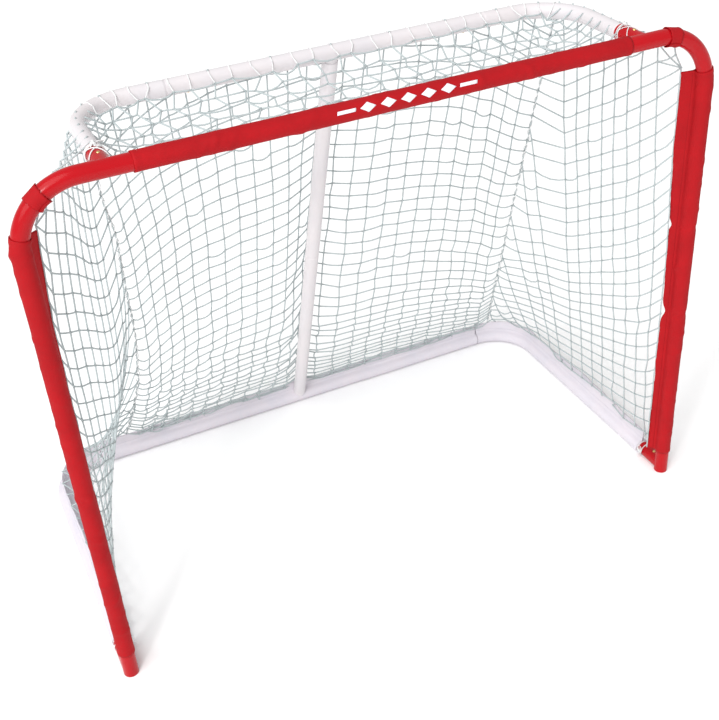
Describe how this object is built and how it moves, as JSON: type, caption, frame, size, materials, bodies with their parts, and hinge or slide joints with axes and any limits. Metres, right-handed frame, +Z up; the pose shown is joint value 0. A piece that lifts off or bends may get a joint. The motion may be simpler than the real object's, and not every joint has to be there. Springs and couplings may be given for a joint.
{
  "type": "hockey goal net",
  "caption": "Free-standing street hockey goal: red front frame, white top, base and centre tubes that push together, fabric sleeves and a white knotted net.",
  "frame": {"origin": "on the floor, under the centre of the whole goal's bounding box", "axes": "+X to the right seen from the mouth, +Y from the mouth to the back, +Z up"},
  "size_m": [1.3774, 0.7488, 1.1186],
  "materials": {
    "red_paint": "gloss",
    "white_paint": "satin",
    "red_plastic": "matte",
    "red_fabric": "matte",
    "white_fabric": "matte",
    "netting": "matte",
    "white_cord": "matte",
    "brass_button": "polished",
    "spring_steel": "satin"
  },
  "bodies": {
    "frame": {"crossbar": "red_paint", "post_left": "red_paint", "post_right": "red_paint", "elbow_left": "red_paint", "elbow_right": "red_paint", "top_corner_left": "white_paint", "top_corner_right": "white_paint", "top_rear_tube": "white_paint", "base_side_left": "white_paint", "base_side_right": "white_paint", "base_rear_tube": "white_paint", "centre_post_upper": "white_paint", "centre_post_lower": "white_paint", "foot_plug_left": "red_plastic", "post_sleeve_left": "red_fabric", "corner_strap_left": "red_fabric", "base_sleeve_left": "white_fabric", "net_left": "netting", "corner_lacing_left": "white_cord", "top_tie_left": "white_cord", "base_tie_left": "white_cord", "foot_plug_right": "red_plastic", "post_sleeve_right": "red_fabric", "corner_strap_right": "red_fabric", "base_sleeve_right": "white_fabric", "net_right": "netting", "corner_lacing_right": "white_cord", "top_tie_right": "white_cord", "base_tie_right": "white_cord", "crossbar_sleeve": "red_fabric", "base_sleeve_rear": "white_fabric", "net_top": "netting", "net_back": "netting", "snap_springs": "spring_steel"},
    "button_post_left": {"button_post_left": "brass_button"},
    "button_post_right": {"button_post_right": "brass_button"},
    "button_crossbar_left": {"button_crossbar_left": "brass_button"},
    "button_crossbar_right": {"button_crossbar_right": "brass_button"},
    "button_top_left": {"button_top_left": "brass_button"},
    "button_top_right": {"button_top_right": "brass_button"},
    "button_base_left": {"button_base_left": "brass_button"},
    "button_base_right": {"button_base_right": "brass_button"},
    "button_top_rear_left": {"button_top_rear_left": "brass_button"},
    "button_top_rear_right": {"button_top_rear_right": "brass_button"},
    "button_base_rear_left": {"button_base_rear_left": "brass_button"},
    "button_base_rear_right": {"button_base_rear_right": "brass_button"},
    "button_centre_top": {"button_centre_top": "brass_button"},
    "button_centre_middle": {"button_centre_middle": "brass_button"},
    "button_centre_bottom": {"button_centre_bottom": "brass_button"}
  },
  "joints": [
    {"name": "press_post_left", "type": "slide", "parent": "frame", "child": "button_post_left", "axis": [0, -1, 0], "range_m": [0, 0.0034], "stiffness_N_per_m": 1500, "deforming": ["snap_springs"]},
    {"name": "press_post_right", "type": "slide", "parent": "frame", "child": "button_post_right", "axis": [0, -1, 0], "range_m": [0, 0.0034], "stiffness_N_per_m": 1500, "deforming": ["snap_springs"]},
    {"name": "press_crossbar_left", "type": "slide", "parent": "frame", "child": "button_crossbar_left", "axis": [0, -1, 0], "range_m": [0, 0.0034], "stiffness_N_per_m": 1500, "deforming": ["snap_springs"]},
    {"name": "press_crossbar_right", "type": "slide", "parent": "frame", "child": "button_crossbar_right", "axis": [0, -1, 0], "range_m": [0, 0.0034], "stiffness_N_per_m": 1500, "deforming": ["snap_springs"]},
    {"name": "press_top_left", "type": "slide", "parent": "frame", "child": "button_top_left", "axis": [0, 0, -1], "range_m": [0, 0.0034], "stiffness_N_per_m": 1500, "deforming": ["snap_springs"]},
    {"name": "press_top_right", "type": "slide", "parent": "frame", "child": "button_top_right", "axis": [0, 0, -1], "range_m": [0, 0.0034], "stiffness_N_per_m": 1500, "deforming": ["snap_springs"]},
    {"name": "press_base_left", "type": "slide", "parent": "frame", "child": "button_base_left", "axis": [0, 0, -1], "range_m": [0, 0.0034], "stiffness_N_per_m": 1500, "deforming": ["snap_springs"]},
    {"name": "press_base_right", "type": "slide", "parent": "frame", "child": "button_base_right", "axis": [0, 0, -1], "range_m": [0, 0.0034], "stiffness_N_per_m": 1500, "deforming": ["snap_springs"]},
    {"name": "press_top_rear_left", "type": "slide", "parent": "frame", "child": "button_top_rear_left", "axis": [0, 0, 1], "range_m": [0, 0.0034], "stiffness_N_per_m": 1500, "deforming": ["snap_springs"]},
    {"name": "press_top_rear_right", "type": "slide", "parent": "frame", "child": "button_top_rear_right", "axis": [0, 0, 1], "range_m": [0, 0.0034], "stiffness_N_per_m": 1500, "deforming": ["snap_springs"]},
    {"name": "press_base_rear_left", "type": "slide", "parent": "frame", "child": "button_base_rear_left", "axis": [0, 1, 0], "range_m": [0, 0.0034], "stiffness_N_per_m": 1500, "deforming": ["snap_springs"]},
    {"name": "press_base_rear_right", "type": "slide", "parent": "frame", "child": "button_base_rear_right", "axis": [0, 1, 0], "range_m": [0, 0.0034], "stiffness_N_per_m": 1500, "deforming": ["snap_springs"]},
    {"name": "press_centre_top", "type": "slide", "parent": "frame", "child": "button_centre_top", "axis": [-1, 0, 0], "range_m": [0, 0.0034], "stiffness_N_per_m": 1500, "deforming": ["snap_springs"]},
    {"name": "press_centre_middle", "type": "slide", "parent": "frame", "child": "button_centre_middle", "axis": [-1, 0, 0], "range_m": [0, 0.0034], "stiffness_N_per_m": 1500, "deforming": ["snap_springs"]},
    {"name": "press_centre_bottom", "type": "slide", "parent": "frame", "child": "button_centre_bottom", "axis": [-1, 0, 0], "range_m": [0, 0.0034], "stiffness_N_per_m": 1500, "deforming": ["snap_springs"]}
  ]
}
